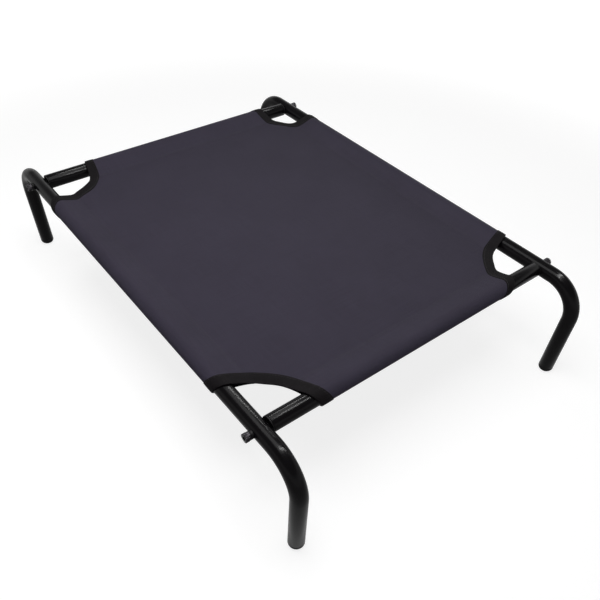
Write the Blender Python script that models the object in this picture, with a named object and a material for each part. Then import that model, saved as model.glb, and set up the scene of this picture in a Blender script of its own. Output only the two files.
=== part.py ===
"""Raised dog bed: a fabric sling on two bent side tubes, which two bolted cross tubes hold apart.

Units are metres. X is the width, Y the length, Z up. The origin lies on the floor, under the
middle of the bed. The front is the end at -Y, and the left side is the one at -X.
"""

import math

import bmesh
import bpy
from mathutils import Vector

# Overall sizes of the frame, measured over the tubes
OVERALL_LENGTH = 0.900
OVERALL_WIDTH = 0.600
TUBE_TOP_HEIGHT = 0.190

# Steel tube, the same for the side tubes and the cross tubes
TUBE_DIAMETER = 0.0254
TUBE_WALL = 0.0012
LEG_BEND_RADIUS = 0.058
CROSS_TUBE_SETBACK = 0.085

# Space left between two pieces that touch on the real bed
FIT_GAP = 0.0003

# Foot caps
CAP_FLANGE = 0.0095
CAP_EDGE_ROUND = 0.008
CAP_INSERT_LENGTH = 0.018
CAP_INSERT_WALL = 0.0025

# End plugs of the cross tubes, which hold the nuts
PLUG_FLANGE = 0.002
PLUG_LENGTH = 0.024
PLUG_WEB = 0.004

# Corner bolts with a hexagon socket, their nuts and their saddle washers
BOLT_DIAMETER = 0.008
BOLT_LENGTH = 0.045
BOLT_HEAD_DIAMETER = 0.013
BOLT_HEAD_HEIGHT = 0.008
BOLT_HEAD_CHAMFER = 0.0012
BOLT_TIP_CHAMFER = 0.0005
KEY_WIDTH = 0.006
KEY_DEPTH = 0.004
BOLT_HOLE_CLEARANCE = 0.0005
NUT_WIDTH = 0.013
NUT_THICKNESS = 0.0065
WASHER_DIAMETER = 0.0125
WASHER_THICKNESS = 0.003

# Sling: one cloth panel whose four edges are sewn into sleeves round the tubes
CLOTH_THICKNESS = 0.001
SLEEVE_SLACK = 0.0008
SEAM_INSET = 0.036
SEAM_WIDTH = 0.006
PANEL_THICKNESS = 0.0012
CORNER_CUT_RADIUS = 0.123
CORNER_CUT_OFFSET = 0.032
CORNER_CUT_LEAN = 0.4

# Tape that binds the cut corners of the sling
BINDING_WIDTH = 0.019
BINDING_THICKNESS = 0.0009

# How finely round shapes are divided
TUBE_SIDES = 28
BEND_STEPS = 8
SMALL_SIDES = 16
SLEEVE_STEPS = 14
CORNER_SIDES = 96
ROUND_STEPS = 6

# Places worked out from the sizes
TUBE_RADIUS = TUBE_DIAMETER / 2
BORE_RADIUS = TUBE_RADIUS - TUBE_WALL
TUBE_AXIS_HEIGHT = TUBE_TOP_HEIGHT - TUBE_RADIUS
SIDE_X = OVERALL_WIDTH / 2 - TUBE_RADIUS
LEG_Y = OVERALL_LENGTH / 2 - TUBE_RADIUS
CROSS_Y = LEG_Y - CROSS_TUBE_SETBACK
INSERT_RADIUS = BORE_RADIUS - FIT_GAP
FITTED_BOLT_RADIUS = BOLT_DIAMETER / 2 + FIT_GAP
SLEEVE_RADIUS = TUBE_RADIUS + SLEEVE_SLACK
LEG_END_HEIGHT = CAP_FLANGE + FIT_GAP

# Distances along a corner bolt, from the axis of the side tube: outwards for the head's side
WASHER_SEAT = TUBE_RADIUS + FIT_GAP
HEAD_SEAT = WASHER_SEAT + WASHER_THICKNESS + FIT_GAP
PLUG_FACE = TUBE_RADIUS + FIT_GAP
CROSS_TUBE_END = PLUG_FACE + PLUG_FLANGE + FIT_GAP
NUT_FACE = PLUG_FACE + PLUG_FLANGE + PLUG_WEB

SIDES = {"left": -1, "right": 1}
ENDS = {"front": -1, "rear": 1}

# Finishes: colour, roughness, metallic value
FINISHES = {
    "black_paint": ((0.012, 0.012, 0.013), 0.38, 0.0),
    "black_steel": ((0.015, 0.015, 0.016), 0.35, 0.7),
    "zinc_steel": ((0.55, 0.56, 0.58), 0.35, 1.0),
    "black_plastic": ((0.014, 0.014, 0.015), 0.55, 0.0),
    "slate_cloth": ((0.052, 0.048, 0.062), 0.85, 0.0),
    "black_tape": ((0.012, 0.012, 0.013), 0.80, 0.0),
}


def clear_scene():
    for old in list(bpy.data.objects):
        bpy.data.objects.remove(old)


def make_material(name):
    colour, roughness, metallic = FINISHES[name]
    material = bpy.data.materials.new(name)
    material.use_nodes = True
    shader = material.node_tree.nodes["Principled BSDF"]
    shader.inputs["Base Color"].default_value = (*colour, 1)
    shader.inputs["Roughness"].default_value = roughness
    shader.inputs["Metallic"].default_value = metallic
    return material


def add_object(name, bm):
    """An object in the scene that holds the closed mesh bm, with its faces pointing out."""
    bmesh.ops.remove_doubles(bm, verts=bm.verts, dist=1e-6)
    bmesh.ops.recalc_face_normals(bm, faces=bm.faces)
    mesh = bpy.data.meshes.new(name)
    bm.to_mesh(mesh)
    bm.free()
    obj = bpy.data.objects.new(name, mesh)
    bpy.context.scene.collection.objects.link(obj)
    return obj


def turned(name, profile, sides):
    """A shape turned round Z from a closed profile of (radius, height) points."""
    bm = bmesh.new()
    ring = [bm.verts.new((radius, 0, height)) for radius, height in profile]
    edges = [bm.edges.new(pair) for pair in zip(ring, ring[1:] + ring[:1])]
    on_axis = [e for e in edges if all(abs(v.co.x) < 1e-9 for v in e.verts)]
    turning = [e for e in edges if e not in on_axis]
    bmesh.ops.spin(
        bm,
        geom=ring + turning,
        cent=(0, 0, 0),
        axis=(0, 0, 1),
        angle=math.tau,
        steps=sides,
        use_merge=True,
    )
    bmesh.ops.delete(bm, geom=[e for e in on_axis if e.is_valid], context="EDGES")
    bmesh.ops.remove_doubles(bm, verts=bm.verts, dist=1e-6)
    bmesh.ops.delete(bm, geom=[v for v in bm.verts if not v.link_faces], context="VERTS")
    return add_object(name, bm)


def cylinder(name, radius, low, high, sides):
    """A solid cylinder on the Z axis between two heights."""
    return turned(name, [(0, low), (radius, low), (radius, high), (0, high)], sides)


def prism(name, outline, length):
    """An outline of (x, z) points, extruded along Y by length, centred on the XZ plane."""
    bm = bmesh.new()
    face = bm.faces.new([bm.verts.new((x, -length / 2, z)) for x, z in outline])
    extruded = bmesh.ops.extrude_face_region(bm, geom=[face])
    moved = [item for item in extruded["geom"] if isinstance(item, bmesh.types.BMVert)]
    bmesh.ops.translate(bm, verts=moved, vec=(0, length, 0))
    return add_object(name, bm)


def hexagon_prism(name, width, low, high):
    """A hexagonal prism on the Z axis, width across its flats, between two heights."""
    return cylinder(name, width / math.sqrt(3), low, high, 6)


def bent_rod(name, points, radius, sides):
    """A round rod along a line of points, made as a bevelled curve."""
    curve = bpy.data.curves.new(name, "CURVE")
    curve.dimensions = "3D"
    curve.bevel_depth = radius
    curve.bevel_resolution = (sides - 4) // 2
    curve.use_fill_caps = True
    spline = curve.splines.new("POLY")
    spline.points.add(len(points) - 1)
    for knot, point in zip(spline.points, points):
        knot.co = (*point, 1)
    guide = bpy.data.objects.new(name + "_guide", curve)
    bpy.context.scene.collection.objects.link(guide)
    bpy.context.view_layer.update()
    mesh = bpy.data.meshes.new_from_object(guide.evaluated_get(bpy.context.evaluated_depsgraph_get()))
    bpy.data.objects.remove(guide)
    bm = bmesh.new()
    bm.from_mesh(mesh)
    return add_object(name, bm)


def place(obj, location, turn=(0, 0, 0)):
    obj.location = location
    obj.rotation_euler = turn
    return obj


def combine(target, other, operation):
    """Joins, cuts or intersects target with other, and removes other from the scene."""
    step = target.modifiers.new(operation.lower(), "BOOLEAN")
    step.operation = operation
    step.solver = "EXACT"
    step.object = other
    bpy.context.view_layer.update()
    result = bpy.data.meshes.new_from_object(target.evaluated_get(bpy.context.evaluated_depsgraph_get()))
    target.modifiers.clear()
    target.data = result
    bpy.data.objects.remove(other)
    return target


def finish(obj, material, smooth_angle=35):
    obj.data.materials.clear()
    obj.data.materials.append(material)
    obj.data.shade_smooth()
    obj.data.set_sharp_from_angle(angle=math.radians(smooth_angle))
    return obj


def corners():
    """Each corner's name, with the signs of its X and Y."""
    for end, end_sign in ENDS.items():
        for side, side_sign in SIDES.items():
            yield f"{end}_{side}", side_sign, end_sign


def at_corner(obj, side_sign, end_sign):
    """Sets a piece made along Z on the bolt's axis, with +Z pointing out of the bed."""
    spot = (side_sign * SIDE_X, end_sign * CROSS_Y, TUBE_AXIS_HEIGHT)
    return place(obj, spot, (0, side_sign * math.pi / 2, 0))


def leg_path(end_sign, reach):
    """Points from the foot of one leg, up and round its bend. Reach lengthens the leg downwards."""
    centre = Vector((0, LEG_Y - LEG_BEND_RADIUS, TUBE_AXIS_HEIGHT - LEG_BEND_RADIUS))
    points = [Vector((0, end_sign * LEG_Y, LEG_END_HEIGHT - reach))]
    for step in range(BEND_STEPS + 1):
        angle = math.pi / 2 * step / BEND_STEPS
        along = centre.y + LEG_BEND_RADIUS * math.cos(angle)
        up = centre.z + LEG_BEND_RADIUS * math.sin(angle)
        points.append(Vector((0, end_sign * along, up)))
    return points


def side_tube(side, side_sign, material):
    """Two legs and the long rail between them, bent from one tube and drilled for two bolts."""
    name = f"{side}_side_tube"
    bore_overrun = 0.005
    outside = leg_path(-1, 0) + leg_path(1, 0)[::-1]
    inside = leg_path(-1, bore_overrun) + leg_path(1, bore_overrun)[::-1]
    tube = bent_rod(name, outside, TUBE_RADIUS, TUBE_SIDES)
    combine(tube, bent_rod("bore", inside, BORE_RADIUS, TUBE_SIDES), "DIFFERENCE")
    hole_radius = BOLT_DIAMETER / 2 + BOLT_HOLE_CLEARANCE
    for end_sign in ENDS.values():
        drill = cylinder("drill", hole_radius, -TUBE_DIAMETER, TUBE_DIAMETER, SMALL_SIDES)
        place(drill, (0, end_sign * CROSS_Y, TUBE_AXIS_HEIGHT), (0, math.pi / 2, 0))
        combine(tube, drill, "DIFFERENCE")
    return finish(place(tube, (side_sign * SIDE_X, 0, 0)), material)


def cross_tube(end, end_sign, material):
    """A straight tube across the bed, cut square at both ends."""
    half = SIDE_X - CROSS_TUBE_END
    wall = [(BORE_RADIUS, -half), (TUBE_RADIUS, -half), (TUBE_RADIUS, half), (BORE_RADIUS, half)]
    tube = turned(f"{end}_cross_tube", wall, TUBE_SIDES)
    spot = (0, end_sign * CROSS_Y, TUBE_AXIS_HEIGHT)
    return finish(place(tube, spot, (0, math.pi / 2, 0)), material)


def end_plug(corner, material):
    """Plug in a cross tube's end: a flange against the side tube and a pocket for the nut."""
    flange_back = -PLUG_FACE - PLUG_FLANGE
    tip = flange_back - PLUG_LENGTH
    profile = [
        (0, tip),
        (INSERT_RADIUS, tip),
        (INSERT_RADIUS, flange_back),
        (TUBE_RADIUS, flange_back),
        (TUBE_RADIUS, -PLUG_FACE),
        (0, -PLUG_FACE),
    ]
    plug = turned(f"{corner}_end_plug", profile, TUBE_SIDES)
    overrun = 0.002
    bore = cylinder("bore", FITTED_BOLT_RADIUS, tip, -PLUG_FACE + overrun, SMALL_SIDES)
    pocket = hexagon_prism("pocket", NUT_WIDTH + 2 * FIT_GAP, tip - overrun, -NUT_FACE)
    combine(plug, pocket, "DIFFERENCE")
    combine(plug, bore, "DIFFERENCE")
    return finish(plug, material)


def nut(corner, material):
    """Hexagon nut in the plug's pocket."""
    front = -NUT_FACE - FIT_GAP
    back = front - NUT_THICKNESS
    overrun = 0.002
    body = hexagon_prism(f"{corner}_nut", NUT_WIDTH, back, front)
    bore = cylinder("bore", FITTED_BOLT_RADIUS, back - overrun, front + overrun, SMALL_SIDES)
    return finish(combine(body, bore, "DIFFERENCE"), material)


def saddle_washer(corner, material):
    """Round washer under the bolt's head, hollowed on one side to sit on the round tube."""
    outer_face = WASHER_SEAT + WASHER_THICKNESS
    body = cylinder(f"{corner}_saddle_washer", WASHER_DIAMETER / 2, 0, outer_face, SMALL_SIDES)
    saddle = cylinder("saddle", WASHER_SEAT, -TUBE_DIAMETER, TUBE_DIAMETER, TUBE_SIDES)
    combine(body, place(saddle, (0, 0, 0), (math.pi / 2, 0, 0)), "DIFFERENCE")
    bore = cylinder("bore", FITTED_BOLT_RADIUS, -TUBE_RADIUS, 2 * outer_face, SMALL_SIDES)
    return finish(combine(body, bore, "DIFFERENCE"), material)


def corner_bolt(corner, material):
    """Socket-head bolt, from its head outside the side tube to its end behind the nut."""
    shank = BOLT_DIAMETER / 2
    head = BOLT_HEAD_DIAMETER / 2
    head_top = HEAD_SEAT + BOLT_HEAD_HEIGHT
    tip = HEAD_SEAT - BOLT_LENGTH
    profile = [
        (0, tip),
        (shank - BOLT_TIP_CHAMFER, tip),
        (shank, tip + BOLT_TIP_CHAMFER),
        (shank, HEAD_SEAT),
        (head, HEAD_SEAT),
        (head, head_top - BOLT_HEAD_CHAMFER),
        (head - BOLT_HEAD_CHAMFER, head_top),
        (0, head_top),
    ]
    bolt = turned(f"{corner}_bolt", profile, SMALL_SIDES)
    overrun = 0.002
    socket = hexagon_prism("socket", KEY_WIDTH, head_top - KEY_DEPTH, head_top + overrun)
    return finish(combine(bolt, socket, "DIFFERENCE"), material)


def foot_cap(corner, side_sign, end_sign, material):
    """Plastic cap in a leg's end: a round-edged foot and a hollow stem inside the tube."""
    top = LEG_END_HEIGHT - FIT_GAP
    stem_top = top + CAP_INSERT_LENGTH
    stem_bore = INSERT_RADIUS - CAP_INSERT_WALL
    round_centre = TUBE_RADIUS - CAP_EDGE_ROUND
    edge = []
    for step in range(ROUND_STEPS + 1):
        angle = math.pi / 2 * step / ROUND_STEPS
        outwards = round_centre + CAP_EDGE_ROUND * math.sin(angle)
        edge.append((outwards, CAP_EDGE_ROUND * (1 - math.cos(angle))))
    profile = [
        (0, 0),
        *edge,
        (TUBE_RADIUS, top),
        (INSERT_RADIUS, top),
        (INSERT_RADIUS, stem_top),
        (stem_bore, stem_top),
        (stem_bore, top),
        (0, top),
    ]
    cap = turned(f"{corner}_foot_cap", profile, TUBE_SIDES)
    place(cap, (side_sign * SIDE_X, end_sign * LEG_Y, 0))
    return finish(cap, material)


def teardrop(radius, tip_inset, tip_half):
    """Section of a sleeve: round the tube on the outside, drawn to the seam on the inside.

    Points are (distance inwards, height), both from the axis of the tube.
    """
    tip = Vector((tip_inset, tip_half))
    leave = math.atan2(tip.y, tip.x) + math.acos(radius / tip.length)
    outline = [tuple(tip)]
    for step in range(SLEEVE_STEPS + 1):
        angle = leave + 2 * (math.pi - leave) * step / SLEEVE_STEPS
        outline.append((radius * math.cos(angle), radius * math.sin(angle)))
    if tip_half > 0:
        outline.append((tip_inset, -tip_half))
    return outline


def sleeve_runs():
    """Each tube that a sleeve goes round: its place, its turn about Z, and its length."""
    half_turn = math.pi
    yield (-SIDE_X, 0, TUBE_AXIS_HEIGHT), 0, 2 * CROSS_Y
    yield (SIDE_X, 0, TUBE_AXIS_HEIGHT), half_turn, 2 * CROSS_Y
    yield (0, -CROSS_Y, TUBE_AXIS_HEIGHT), half_turn / 2, 2 * SIDE_X
    yield (0, CROSS_Y, TUBE_AXIS_HEIGHT), -half_turn / 2, 2 * SIDE_X


def sling_body(name, grown):
    """The panel and its four sleeves as one full shape, with every outer face grown outwards."""
    plate_x = SIDE_X - SEAM_INSET + SEAM_WIDTH / 2
    plate_y = CROSS_Y - SEAM_INSET + SEAM_WIDTH / 2
    half = PANEL_THICKNESS / 2 + grown
    outline = [(-plate_x, -half), (plate_x, -half), (plate_x, half), (-plate_x, half)]
    body = place(prism(name, outline, 2 * plate_y), (0, 0, TUBE_AXIS_HEIGHT))
    section = teardrop(SLEEVE_RADIUS + CLOTH_THICKNESS + grown, SEAM_INSET + grown, half)
    for spot, turn, length in sleeve_runs():
        sleeve = prism("sleeve", section, length - CORNER_CUT_RADIUS)
        combine(body, place(sleeve, spot, (0, 0, turn)), "UNION")
    return body


def cut_tunnels(body):
    """Cuts the space for the tubes through the four sleeves."""
    section = teardrop(SLEEVE_RADIUS, SEAM_INSET - SEAM_WIDTH, 0)
    for spot, turn, length in sleeve_runs():
        tunnel = prism("tunnel", section, length)
        combine(body, place(tunnel, spot, (0, 0, turn)), "DIFFERENCE")


def corner_cutter(side_sign, end_sign, radius):
    """Round column that cuts one corner. Its foot lies further in, so it cuts sleeves back below."""
    cutter = cylinder("cutter", radius, -2 * TUBE_DIAMETER, 2 * TUBE_DIAMETER, CORNER_SIDES)
    for vertex in cutter.data.vertices:
        shift = CORNER_CUT_LEAN * vertex.co.z
        vertex.co.x += side_sign * shift
        vertex.co.y += end_sign * shift
    across = side_sign * (SIDE_X + CORNER_CUT_OFFSET)
    along = end_sign * (CROSS_Y + CORNER_CUT_OFFSET)
    return place(cutter, (across, along, TUBE_AXIS_HEIGHT))


def sling(material):
    """The cloth: a flat panel, four sleeves and four round corner cuts."""
    body = sling_body("sling", 0)
    cut_tunnels(body)
    for _, side_sign, end_sign in corners():
        combine(body, corner_cutter(side_sign, end_sign, CORNER_CUT_RADIUS), "DIFFERENCE")
    return finish(body, material)


def corner_binding(corner, side_sign, end_sign, material):
    """Tape folded over the cut edge of one corner, on both faces of the cloth."""
    fold = FIT_GAP + BINDING_THICKNESS
    inner_radius = CORNER_CUT_RADIUS - fold
    tape = sling_body(f"{corner}_corner_binding", fold)
    reach = corner_cutter(side_sign, end_sign, inner_radius + BINDING_WIDTH)
    combine(tape, reach, "INTERSECT")
    combine(tape, corner_cutter(side_sign, end_sign, inner_radius), "DIFFERENCE")
    cloth = sling_body("cloth", FIT_GAP)
    cloth_edge = corner_cutter(side_sign, end_sign, CORNER_CUT_RADIUS - FIT_GAP)
    combine(cloth, cloth_edge, "DIFFERENCE")
    combine(tape, cloth, "DIFFERENCE")
    cut_tunnels(tape)
    return finish(tape, material)


def main():
    clear_scene()
    materials = {name: make_material(name) for name in FINISHES}
    for side, side_sign in SIDES.items():
        side_tube(side, side_sign, materials["black_paint"])
    for end, end_sign in ENDS.items():
        cross_tube(end, end_sign, materials["black_paint"])
    for corner, side_sign, end_sign in corners():
        at_corner(end_plug(corner, materials["black_plastic"]), side_sign, end_sign)
        at_corner(nut(corner, materials["zinc_steel"]), side_sign, end_sign)
        at_corner(saddle_washer(corner, materials["black_plastic"]), side_sign, end_sign)
        at_corner(corner_bolt(corner, materials["black_steel"]), side_sign, end_sign)
        foot_cap(corner, side_sign, end_sign, materials["black_plastic"])
        corner_binding(corner, side_sign, end_sign, materials["black_tape"])
    sling(materials["slate_cloth"])


main()
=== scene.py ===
import math

import bmesh
import bpy
import numpy as np
from mathutils import Matrix, Vector


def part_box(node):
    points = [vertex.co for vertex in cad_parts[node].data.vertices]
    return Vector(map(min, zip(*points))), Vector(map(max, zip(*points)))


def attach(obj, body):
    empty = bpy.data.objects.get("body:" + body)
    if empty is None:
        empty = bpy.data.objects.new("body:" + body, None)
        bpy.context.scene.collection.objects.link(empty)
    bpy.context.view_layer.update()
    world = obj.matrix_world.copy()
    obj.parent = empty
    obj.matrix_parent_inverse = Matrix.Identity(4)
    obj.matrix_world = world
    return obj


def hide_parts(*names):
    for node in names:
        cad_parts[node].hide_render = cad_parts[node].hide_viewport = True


# Looks of a raised dog bed: slate sling on black tubes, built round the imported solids, in metres.
# X is the width, Y the length, Z up. The front is the end at -Y.
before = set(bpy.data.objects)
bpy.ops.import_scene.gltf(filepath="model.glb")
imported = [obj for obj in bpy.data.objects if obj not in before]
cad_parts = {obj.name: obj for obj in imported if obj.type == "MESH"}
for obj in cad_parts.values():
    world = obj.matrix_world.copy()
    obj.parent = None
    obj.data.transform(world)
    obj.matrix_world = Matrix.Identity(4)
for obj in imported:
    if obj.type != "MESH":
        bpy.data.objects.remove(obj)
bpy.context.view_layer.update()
print("frame loaded,", len(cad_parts), "solids")

# Places read off the solids, so that the pieces follow them
railLow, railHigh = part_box("right_side_tube")
crossLow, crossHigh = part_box("rear_cross_tube")
tubeRadius = (railHigh.x - railLow.x) / 2
sideX = (railHigh.x + railLow.x) / 2
crossY = (crossHigh.y + crossLow.y) / 2
axisZ = (crossHigh.z + crossLow.z) / 2
legY = railHigh.y - tubeRadius
legFoot = railLow.z
crossEnd = crossHigh.x
bothSides = (("left", -1), ("right", 1))
bothEnds = (("front", -1), ("rear", 1))
corners = [(f"{end}_{side}", sx, sy) for end, sy in bothEnds for side, sx in bothSides]
clearance = 0.0003           # between pieces that sit in or on each other


# Small helpers for meshes

def addMesh(name, points, faces, material, uv=None, smoothAngle=35):
    # points in metres, faces as lists of point numbers, uv as one pair for each point
    mesh = bpy.data.meshes.new(name)
    mesh.from_pydata([tuple(p) for p in points], [], [tuple(f) for f in faces])
    if uv is not None:
        layer = mesh.uv_layers.new(name="flat")
        index = np.zeros(len(mesh.loops), np.int32)
        mesh.loops.foreach_get("vertex_index", index)
        layer.data.foreach_set("uv", np.asarray(uv, np.float32)[index].ravel())
    mesh.materials.append(material)
    mesh.shade_smooth()
    mesh.set_sharp_from_angle(angle=math.radians(smoothAngle))
    obj = bpy.data.objects.new(name, mesh)
    bpy.context.scene.collection.objects.link(obj)
    return obj


def addModifier(obj, kind, **settings):
    step = obj.modifiers.new(kind.lower(), kind)
    for key, value in settings.items():
        setattr(step, key, value)
    return step


def makePlain(obj, smoothAngle=35):
    # turns the modifiers' result into the object's own mesh
    bpy.context.view_layer.update()
    dg = bpy.context.evaluated_depsgraph_get()
    mesh = bpy.data.meshes.new_from_object(obj.evaluated_get(dg), preserve_all_data_layers=True, depsgraph=dg)
    obj.modifiers.clear()
    obj.data = mesh
    mesh.shade_smooth()
    mesh.set_sharp_from_angle(angle=math.radians(smoothAngle))
    return obj


def loopsToFaces(loopCount, sides, closed=False):
    # quads between loops of points that lie one after another in a list
    faces = []
    for n in range(loopCount if closed else loopCount - 1):
        a, b = n * sides, (n + 1) % loopCount * sides
        for k in range(sides):
            m = (k + 1) % sides
            faces.append((a + k, a + m, b + m, b + k))
    return faces


def cappedFaces(loopCount, sides):
    # the same with the first and the last loop closed
    first, last = tuple(reversed(range(sides))), tuple(range((loopCount - 1) * sides, loopCount * sides))
    return loopsToFaces(loopCount, sides) + [first, last]


def turnedPoints(profile, sides):
    # loops of points round +Z from (radius, height) pairs
    return [
        (r * math.cos(math.tau * k / sides), r * math.sin(math.tau * k / sides), z)
        for r, z in profile
        for k in range(sides)
    ]


def hexLoop(width, height, sides):
    # a loop of points along a hexagon, width across its flats
    loop = []
    for k in range(sides):
        angle = math.tau * k / sides
        within = (angle + math.pi / 6) % (math.pi / 3) - math.pi / 6
        r = width / 2 / math.cos(within)
        loop.append((r * math.cos(angle), r * math.sin(angle), height))
    return loop


def outOfBed(points, sx, sy):
    # from a piece made along +Z to the bolt's axis of one corner, +Z pointing out of the bed
    return [(sx * (sideX + z), sy * crossY + sx * y, axisZ + x) for x, y, z in points]


# Small helpers for node trees

def addNode(tree, kind, inputs=None, **settings):
    node = tree.nodes.new(kind)
    for key, value in settings.items():
        setattr(node, key, value)
    for key, value in (inputs or {}).items():
        if isinstance(value, bpy.types.NodeSocket):
            tree.links.new(value, node.inputs[key])
        else:
            node.inputs[key].default_value = value
    return node


def outOf(tree, kind, inputs=None, **settings):
    # a new node's first output
    return addNode(tree, kind, inputs, **settings).outputs[0]


def mathNode(tree, operation, a, b=0.0):
    return outOf(tree, "ShaderNodeMath", {0: a, 1: b}, operation=operation)


def mixNode(tree, share, a, b):
    return outOf(tree, "ShaderNodeMix", {0: share, 2: a, 3: b}, data_type="FLOAT")


def mapRange(tree, value, fromLow, fromHigh, toLow, toHigh, **settings):
    inputs = {"Value": value, "From Min": fromLow, "From Max": fromHigh, "To Min": toLow, "To Max": toHigh}
    return addNode(tree, "ShaderNodeMapRange", inputs, **settings).outputs["Result"]


def noiseNode(tree, coords, scale, detail, roughness=0.5):
    inputs = {"Vector": coords, "Scale": scale, "Detail": detail, "Roughness": roughness}
    return addNode(tree, "ShaderNodeTexNoise", inputs).outputs["Fac"]


def startMaterial(name, colour, roughness, gloss=0.5, **constants):
    # a principled shader with its constant values on its own sockets
    material = bpy.data.materials.new(name)
    material.use_nodes = True
    material.diffuse_color = (*colour, 1)
    tree = material.node_tree
    shader = tree.nodes["Principled BSDF"]
    shader.inputs["Base Color"].default_value = (*colour, 1)
    shader.inputs["Roughness"].default_value = roughness
    shader.inputs["Specular IOR Level"].default_value = gloss
    for key, value in constants.items():
        shader.inputs[key].default_value = value
    return material, tree, shader


noiseRange = (0.3, 0.7)      # where most of a noise's values lie


def mottled(tree, coords, colour, scale, spread, detail=3.0):
    # the colour, lighter and darker by spread in a noise of that scale
    ramp = addNode(tree, "ShaderNodeValToRGB", {"Fac": noiseNode(tree, coords, scale, detail, 0.55)})
    for stop, place, share in zip(ramp.color_ramp.elements, noiseRange, (1 - spread, 1 + spread)):
        stop.position = place
        stop.color = (*[c * share for c in colour], 1)
    return ramp.outputs["Color"]


def toned(tree, shader, colour, tone):
    # gives the shader a colour times a tone, which holds painted shade in the hollows of the cloth and the
    # tape and painted highlight on the tape's ribs
    scaled = addNode(tree, "ShaderNodeVectorMath", {0: colour, "Scale": tone}, operation="SCALE")
    tree.links.new(scaled.outputs["Vector"], shader.inputs["Base Color"])


def cloudyGloss(tree, shader, coords, scale, detail, low, high):
    # roughness that drifts between low and high in a noise of that scale
    cloud = noiseNode(tree, coords, scale, detail)
    tree.links.new(mapRange(tree, cloud, *noiseRange, low, high), shader.inputs["Roughness"])


def bumpFrom(tree, shader, height, strength, distance):
    bump = addNode(tree, "ShaderNodeBump", {"Height": height, "Strength": strength, "Distance": distance})
    tree.links.new(bump.outputs["Normal"], shader.inputs["Normal"])


# Finishes

powderCoat = {
    "colour": (0.0040, 0.0035, 0.0042),
    "mottle": 0.12,
    "mottleScale": 45.0,     # clouds a metre, as for the other finishes
    "roughnessLow": 0.17,
    "roughnessHigh": 0.24,
    "cloudScale": 28.0,      # of the drift in roughness
    "gloss": 0.08,
    "peelScale": 620.0,      # orange peel, bumps a metre
    "grainScale": 2600.0,
    "grainShare": 0.12,
    "peelDepth": 0.00002,
    "peelStrength": 0.6,
}


def makePowderCoat():
    o = powderCoat
    material, tree, shader = startMaterial("powderCoat", o["colour"], 0.3, o["gloss"])
    coords = addNode(tree, "ShaderNodeTexCoord").outputs["Object"]
    cloudy = mottled(tree, coords, o["colour"], o["mottleScale"], o["mottle"])
    tree.links.new(cloudy, shader.inputs["Base Color"])
    peel = noiseNode(tree, coords, o["peelScale"], 2.0)
    grain = noiseNode(tree, coords, o["grainScale"], 1.0)
    height = mathNode(tree, "ADD", peel, mathNode(tree, "MULTIPLY", grain, o["grainShare"]))
    bumpFrom(tree, shader, height, o["peelStrength"], o["peelDepth"])
    cloudyGloss(tree, shader, coords, o["cloudScale"], 4.0, o["roughnessLow"], o["roughnessHigh"])
    return material


sheen = {"Sheen Weight": 0.01, "Sheen Roughness": 0.4}   # of cloth and tape

slateCloth = {
    "colour": (0.0395, 0.0342, 0.0525),
    "roughness": 0.82,
    "gloss": 0.06,
    "mottle": 0.055,
    "mottleScale": 9.0,
    "yarnPitch": 0.0011,     # metres between yarns
    "yarnSpread": 0.13,      # how much lighter or darker one yarn is than the next
    "yarnStretch": ((900.0, 14.0, 1.0), (14.0, 900.0, 1.0)),   # streaks along the weft and the warp
    "paintedHollowShade": 0.72,      # painted shade: how much darker the colour is in the hollows of the weave
    "weaveDepth": 0.00022,
    "weaveStrength": 0.55,
}


def plainWeave(tree, coords, pitch):
    # height of a plain weave: warp and weft take turns on top, cell by cell
    cells = outOf(tree, "ShaderNodeVectorMath", {0: coords, "Scale": 1 / pitch}, operation="SCALE")
    split = addNode(tree, "ShaderNodeSeparateXYZ", {"Vector": cells})
    crowns, floors = [], []
    for axis in ("X", "Y"):
        within = mathNode(tree, "FRACT", split.outputs[axis])
        crowns.append(mathNode(tree, "SINE", mathNode(tree, "MULTIPLY", within, math.pi)))
        floors.append(mathNode(tree, "FLOOR", split.outputs[axis]))
    turn = mathNode(tree, "PINGPONG", mathNode(tree, "ADD", *floors), 1.0)
    return mixNode(tree, turn, *crowns), turn


def makeCloth():
    o = slateCloth
    material, tree, shader = startMaterial("slateCloth", o["colour"], o["roughness"], o["gloss"], **sheen)
    flat = addNode(tree, "ShaderNodeUVMap", uv_map="flat").outputs["UV"]
    weave, turn = plainWeave(tree, flat, o["yarnPitch"])
    cloudy = mottled(tree, flat, o["colour"], o["mottleScale"], o["mottle"], 4.0)
    streaks = []
    for stretch in o["yarnStretch"]:
        laid = outOf(tree, "ShaderNodeMapping", {"Vector": flat, "Scale": stretch})
        streaks.append(noiseNode(tree, laid, 1.0, 1.0))
    yarn = mixNode(tree, turn, *streaks)
    # each yarn's own tone, lighter or darker at random
    yarnTone = mapRange(tree, yarn, 0.25, 0.75, 1 - o["yarnSpread"], 1 + o["yarnSpread"])
    # painted shade: the colour is darkened where the weave is low
    hollow = mapRange(tree, weave, 0.0, 0.5, o["paintedHollowShade"], 1.0)
    toned(tree, shader, cloudy, mathNode(tree, "MULTIPLY", yarnTone, hollow))
    bumpFrom(tree, shader, weave, o["weaveStrength"], o["weaveDepth"])
    return material


bindingTape = {
    "colour": (0.0064, 0.0051, 0.0062),
    "roughness": 0.75,
    "gloss": 0.05,
    "mottle": 0.16,
    "mottleScale": 60.0,
    "ribPitch": 0.0012,      # metres between ribs, along the tape
    "threadPitch": 0.0007,   # metres between threads, across it
    "threadShare": 0.35,
    "paintedShadeAndHighlight": (0.7, 1.15),    # painted shade and highlight: how much darker its hollows and how much lighter its ribs are
    "ribDepth": 0.00018,
    "ribStrength": 0.5,
}


def waves(tree, value, pitch):
    return mathNode(tree, "SINE", mathNode(tree, "MULTIPLY", value, math.tau / pitch))


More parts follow.
